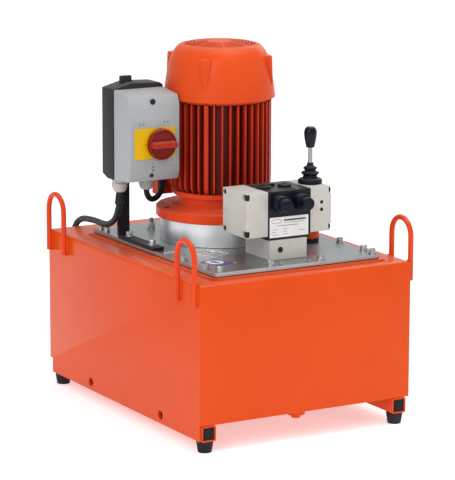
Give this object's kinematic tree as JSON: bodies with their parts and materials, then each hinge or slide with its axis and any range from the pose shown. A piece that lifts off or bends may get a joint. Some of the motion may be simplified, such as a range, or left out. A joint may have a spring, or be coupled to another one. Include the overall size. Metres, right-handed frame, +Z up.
{
  "type": "hydraulic power unit",
  "caption": "Compact hydraulic power pack: ribbed upright electric motor, lever valve and switch box bolted to the lid of a sheet-steel oil tank on rubber feet, with lifting bails.",
  "frame": {"origin": "on the floor under the centre of the tank", "axes": "+Z up, -Y towards the operator's side with the valve ports, +X to the operator's right"},
  "size_m": [0.545, 0.9564, 0.8111],
  "materials": {
    "aluminium": "machined satin",
    "black_paint": "black enamel on flat bar",
    "box_dark": "fine-grained dark grey plastic",
    "box_light": "fine-grained light grey plastic",
    "cast_iron": "dark casting",
    "chrome": "hard chrome",
    "copper": "lacquered winding",
    "gland_grey": "grey nylon",
    "motor_orange": "satin orange enamel over ribbed casting",
    "orange": "gloss orange enamel",
    "plate": "zinc-plated steel sheet, lightly brushed",
    "red": "dark red moulded plastic",
    "rubber": "matt black rubber",
    "steel": "ground and oiled",
    "valve_black": "black paint, semi-gloss",
    "valve_grey": "light grey-beige paint",
    "yellow": "yellow plastic plate"
  },
  "bodies": {
    "unit": {"bell_housing": "aluminium", "cover_plate": "plate", "drain_plug": "orange", "drive_end_bearing": "steel", "fan_cover": "motor_orange", "fan_end_bearing": "steel", "filler_neck": "valve_black", "foot_front_left": "rubber", "foot_front_right": "rubber", "foot_rear_left": "rubber", "foot_rear_right": "rubber", "lever_boot": "rubber", "lifting_bail_front_left": "orange", "lifting_bail_front_right": "orange", "lifting_bail_rear_left": "orange", "lifting_bail_rear_right": "orange", "manifold_block": "valve_grey", "motor_cable": "rubber", "motor_flange": "motor_orange", "motor_foot_pad": "motor_orange", "motor_frame": "motor_orange", "motor_gland": "gland_grey", "plate_gasket": "rubber", "pressure_pipe": "steel", "pump_body": "cast_iron", "rail_left": "orange", "rail_right": "orange", "rear_end_shield": "motor_orange", "return_pipe": "steel", "stator": "copper", "suction_strainer": "steel", "supply_cable": "rubber", "supply_cable_coil": "rubber", "supply_gland": "gland_grey", "supply_plug": "red", "switch_box_base": "box_dark", "switch_box_cover": "box_light", "switch_bracket": "black_paint", "switch_plate": "yellow", "tank_shell": "orange", "terminal_box": "motor_orange", "terminal_box_lid": "motor_orange", "terminal_gland": "gland_grey", "valve_body": "valve_black", "valve_cap_left": "valve_grey", "valve_cap_right": "valve_grey"},
    "rotor": {"motor_shaft": "steel", "rotor_core": "steel", "cooling_fan": "black_paint", "motor_coupling_half": "cast_iron", "coupling_spider": "red"},
    "pump_drive": {"pump_shaft": "steel", "pump_coupling_half": "cast_iron"},
    "lever": {"lever_rod": "chrome", "lever_knob": "valve_black"},
    "spool": {"valve_spool": "steel"},
    "switch_dial": {"switch_knob": "red"},
    "filler_lid": {"filler_cap": "orange"},
    "port_cap_left": {"dust_cap_left": "rubber"},
    "port_cap_right": {"dust_cap_right": "rubber"}
  },
  "joints": [
    {"name": "rotor_spin", "type": "hinge", "parent": "unit", "child": "rotor", "pos_m": [-0.003, 0.018, 0.5], "axis": [0, 0, 1], "continuous": true},
    {"name": "pump_spin", "type": "hinge", "parent": "unit", "child": "pump_drive", "pos_m": [-0.003, 0.018, 0.32], "axis": [0, 0, 1], "continuous": true},
    {"name": "lever_tilt", "type": "hinge", "parent": "unit", "child": "lever", "pos_m": [0.089, -0.212, 0.511], "axis": [0, 1, 0], "range_deg": [-15, 15], "stiffness_Nm_per_rad": 2, "deforming": ["lever_boot"]},
    {"name": "spool_slide", "type": "slide", "parent": "unit", "child": "spool", "axis": [-1, 0, 0], "range_m": [-0.0105, 0.0105]},
    {"name": "switch_turn", "type": "hinge", "parent": "unit", "child": "switch_dial", "pos_m": [-0.177, -0.025, 0.602], "axis": [0, -1, 0], "range_deg": [0, 90]},
    {"name": "filler_lift", "type": "slide", "parent": "unit", "child": "filler_lid", "axis": [0, 0, 1], "range_m": [0, 0.06]},
    {"name": "port_cap_left_pull", "type": "slide", "parent": "unit", "child": "port_cap_left", "axis": [0, -1, 0], "range_m": [0, 0.06]},
    {"name": "port_cap_right_pull", "type": "slide", "parent": "unit", "child": "port_cap_right", "axis": [0, -1, 0], "range_m": [0, 0.06]}
  ],
  "couplings": [
    {"joint": "pump_spin", "follows": "rotor_spin", "ratio": 1},
    {"joint": "spool_slide", "follows": "lever_tilt", "m_per_rad": 0.04}
  ]
}
